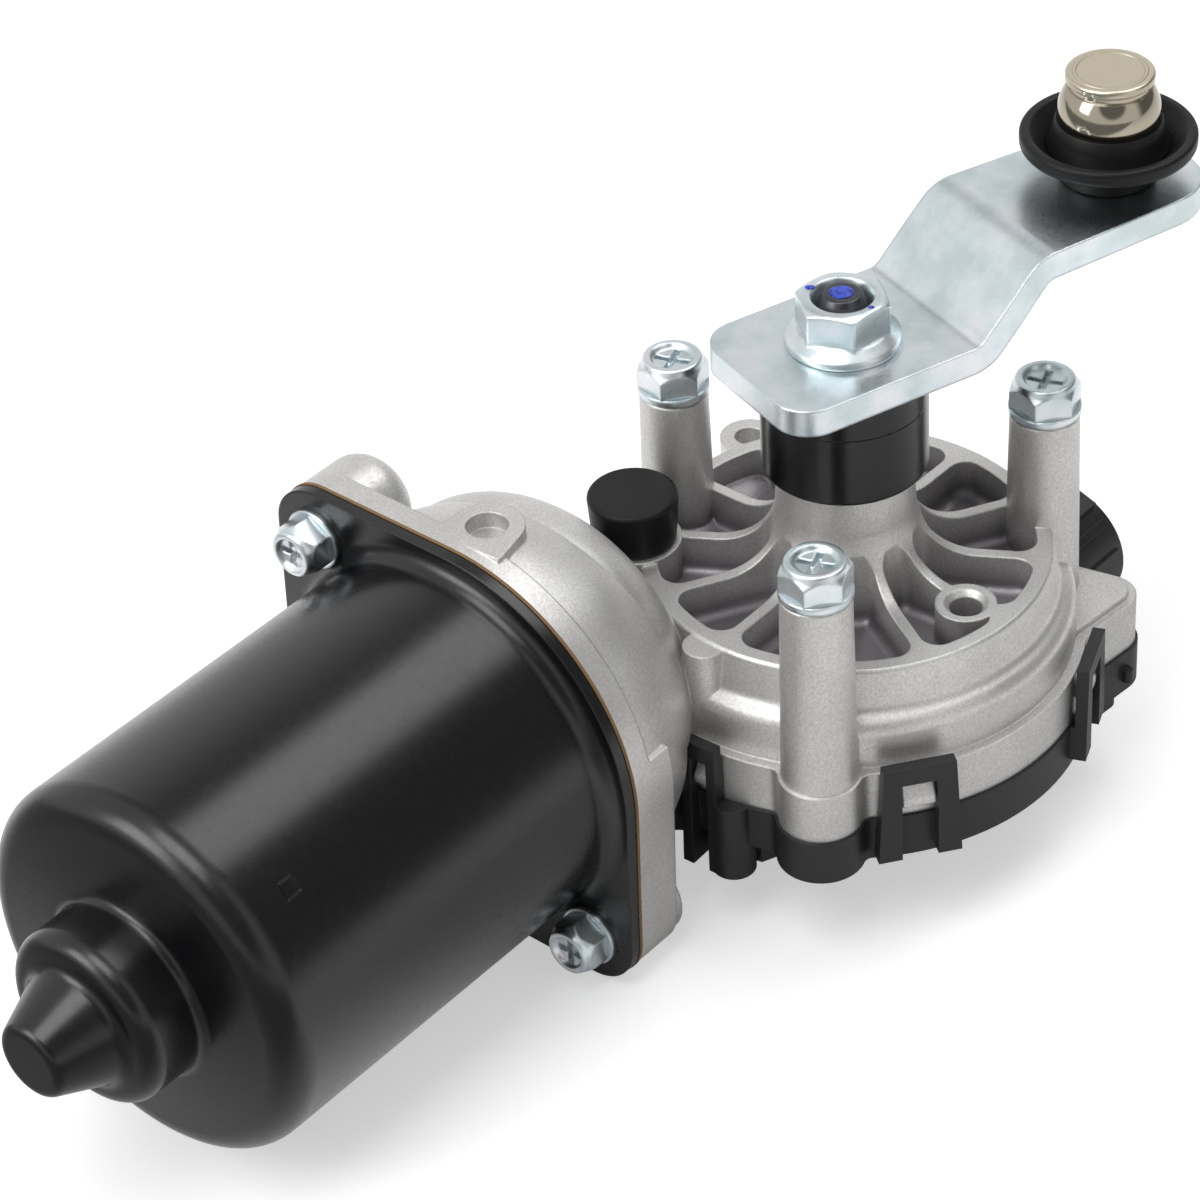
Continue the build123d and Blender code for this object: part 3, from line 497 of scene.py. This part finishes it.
shader, place = start("blue_paint", (0.02, 0.05, 0.50), 0.3, Specular_IOR_Level=0.5)
brush = noise(place, 1300, 3.0)
link(shader, "Base Color", ramp(brush, (0.38, (0.008, 0.015, 0.16)), (0.52, (0.03, 0.07, 0.55))))
link(shader, "Roughness", 0.25 + brush * 0.2)
link(shader, "Normal", bump(place, brush, 0.05, 0.5))

bpy.ops.object.select_all(action="DESELECT")
dabs = []
for number, (x_mm, y_mm, base_z, length, width) in enumerate(DABS):
    middle = (x_mm * MM, y_mm * MM, base_z)
    bpy.ops.mesh.primitive_circle_add(vertices=28, radius=MM, fill_type="NGON", location=middle)
    dab = bpy.context.object
    dab.scale = (length, width, 1)
    dab.rotation_euler.z = DAB_TURN
    bpy.ops.object.transform_apply(location=True, rotation=True, scale=True)
    edit_all(dab)
    for rise, draw in LAYERS:
        bpy.ops.mesh.extrude_region_move(TRANSFORM_OT_translate={"value": (0, 0, rise * MM)})
        bpy.ops.transform.resize(value=(draw, draw, 1), center_override=middle)
    bpy.ops.mesh.select_all(action="SELECT")
    bpy.ops.transform.vertex_random(offset=0.05 * MM, seed=number + 1)
    bpy.ops.object.mode_set(mode="OBJECT")
    dabs.append(dab)
bpy.ops.object.select_all(action="DESELECT")
for dab in dabs:
    dab.select_set(True)
bpy.context.view_layer.objects.active = dabs[0]
bpy.ops.object.join()
paint = bpy.context.object
paint.name = "paint_dabs"
finish_piece(paint, "blue_paint", "dark_steel")

# %% [markdown]
# ## Lip of the boot
# The rubber boot closes round the ball with a soft lip that stands in its
# dish. The lip is round, so its section is drawn once, beside the ball, and
# spun about the ball's axis. Each point is a radius and a height.

# %% Boot lip
LIP_SECTION = [(6.2, 94.0), (7.4, 96.0), (7.75, 97.0), (7.95, 98.0), (8.15, 98.05), (8.4, 97.6),
               (8.7, 96.2), (9.0, 94.6), (9.6, 93.6), (9.0, 92.9), (7.0, 92.3)]
LIP_STEPS = 72

section = bpy.data.meshes.new("boot_lip")
points = [(BALL_X + r * MM, BALL_Y, z * MM) for r, z in LIP_SECTION]
section.from_pydata(points, [(i, (i + 1) % len(points)) for i in range(len(points))], [])
lip = bpy.data.objects.new("boot_lip", section)
bpy.context.collection.objects.link(lip)
edit_all(lip)
bpy.ops.mesh.spin(steps=LIP_STEPS, angle=math.tau, center=(BALL_X, BALL_Y, 0), axis=(0, 0, 1))
bpy.ops.mesh.select_all(action="SELECT")
bpy.ops.mesh.remove_doubles(threshold=0.001 * MM)
bpy.ops.object.mode_set(mode="OBJECT")
finish_piece(lip, "black_rubber", "black_rubber")

# %% [markdown]
# ## Floor
# The photograph has a white background with almost no shadow. The floor
# glows a little to the camera and to reflections, so that it reads as white
# and keeps a faint shadow. To reflections it doesn't glow close to the gear
# case, and past the nose it is only a dim grey. Both were tuned until the
# bands on the can came near those of the photograph.

# %% Floor
FLOOR_DROP, FLOOR_SIZE = 0.2 * MM, 6
CASE_X, CASE_Y = 0.01, -0.03
SHADED_R, OPEN_R = 0.065, 0.12
PAST_NOSE, AT_NOSE = -0.18, -0.10
GLOW, DIM_GLOW = 0.5, 0.3
WHITE = (1, 1, 1, 1)


def rays(tree, *kinds):
    """For each kind of ray, a socket that is 1 for such a ray and else 0."""
    path = tree.nodes.new("ShaderNodeLightPath")
    return [Socket(tree, path.outputs[kind]) for kind in kinds]


bpy.ops.object.select_all(action="DESELECT")
floor_height = cad_box[0].z - FLOOR_DROP
bpy.ops.mesh.primitive_plane_add(size=FLOOR_SIZE, location=(0, 0, floor_height))
floor = bpy.context.object
floor.name = "floor"
bpy.ops.object.transform_apply(location=True, rotation=True, scale=True)
shader, place = start("floor_white", (0.7, 0.7, 0.7), 0.9)
tree = place.tree
camera_ray, glossy_ray = rays(tree, "Is Camera Ray", "Is Glossy Ray")
x, y, z = parts_of(place)
open_floor = fade(reach_of(x, y, CASE_X, CASE_Y), SHADED_R, OPEN_R)
strength = (camera_ray + glossy_ray * open_floor) * GLOW
glow = place.node("ShaderNodeEmission", None, {"Color": WHITE, "Strength": strength})
white = place.node("ShaderNodeAddShader", None, {0: Socket(tree, shader.outputs[0]), 1: glow})
dim = place.node("ShaderNodeEmission", None, {"Color": WHITE, "Strength": DIM_GLOW})
# Past the nose, reflections see a dim grey instead of the lit floor: a painted shadow.
painted_nose_shadow = glossy_ray * (1 - fade(x, PAST_NOSE, AT_NOSE))
choice = place.node("ShaderNodeMixShader", None, {0: painted_nose_shadow, 1: white, 2: dim})
tree.links.new(choice.socket, tree.nodes["Material Output"].inputs["Surface"])
floor.data.materials.append(FINISHES["floor_white"])
print("floor height in mm:", round(floor_height / MM, 2))

# %% [markdown]
# ## World
# The world is white to the camera, and lights the rest evenly. To reflections
# it is a studio: white ahead of the camera and to the left, dark to the right
# and round the camera itself, because metal and paint look flat with nothing
# dark to mirror.

# %% World
AHEAD_WALL, RIGHT_GAP, CAMERA_SPOT = (0.55, 0.9), (0.1, 0.42), (0.84, 0.91)
EVEN_LIGHT, WALL_LIGHT, UNLIT, SPOT_DARK = 0.4, 0.75, 0.2, 0.95

world = bpy.data.worlds.new("studio")
world.use_nodes = True
bpy.context.scene.world = world
tree = world.node_tree
seen, mirrored, through = rays(tree, "Is Camera Ray", "Is Glossy Ray", "Is Transmission Ray")
direction = Socket(tree, tree.nodes.new("ShaderNodeTexCoord").outputs["Generated"])
east, north, up = parts_of(direction)
heading, tilt = math.radians(HEADING), math.radians(TILT)
ahead = east * math.cos(heading) + north * math.sin(heading)
to_camera = up * math.sin(tilt) - ahead * math.cos(tilt)
walls = direction.sum_with("MAXIMUM", fade(ahead, *AHEAD_WALL), 1 - fade(east, *RIGHT_GAP))
room = 1 - fade(to_camera, *CAMERA_SPOT) * SPOT_DARK
studio = walls * room * WALL_LIGHT - UNLIT
strength = (seen + through) * (1 - EVEN_LIGHT) + mirrored * studio + EVEN_LIGHT
background = tree.nodes["Background"]
tree.links.new(strength.socket, background.inputs["Strength"])
background.inputs["Color"].default_value = WHITE
print("world made:", world.name)

# %% [markdown]
# ## Lamps
# Three large soft lamps draw the bright bands on the can and the arm. Each
# row gives a lamp's place, its size and its power in watts.

# %% Lamps
LAMPS = {
    "long_softbox": ((0.40, -0.055, 0.86), 0.5, 2.6),
    "overhead": ((-0.45, 0.0, 0.85), 0.5, 3.4),
    "left_side": ((-0.75, 0.35, 0.45), 0.4, 2.6),
}
AIM = Vector((-0.04, 0.01, 0.03))
for name, (lamp_place, size, watts) in LAMPS.items():
    turn = (AIM - Vector(lamp_place)).to_track_quat("-Z", "Y").to_euler()
    bpy.ops.object.light_add(type="AREA", location=lamp_place, rotation=turn)
    light = bpy.context.object
    light.name = name
    light.data.size = size
    light.data.energy = watts
    print("lamp:", name, watts, "W")
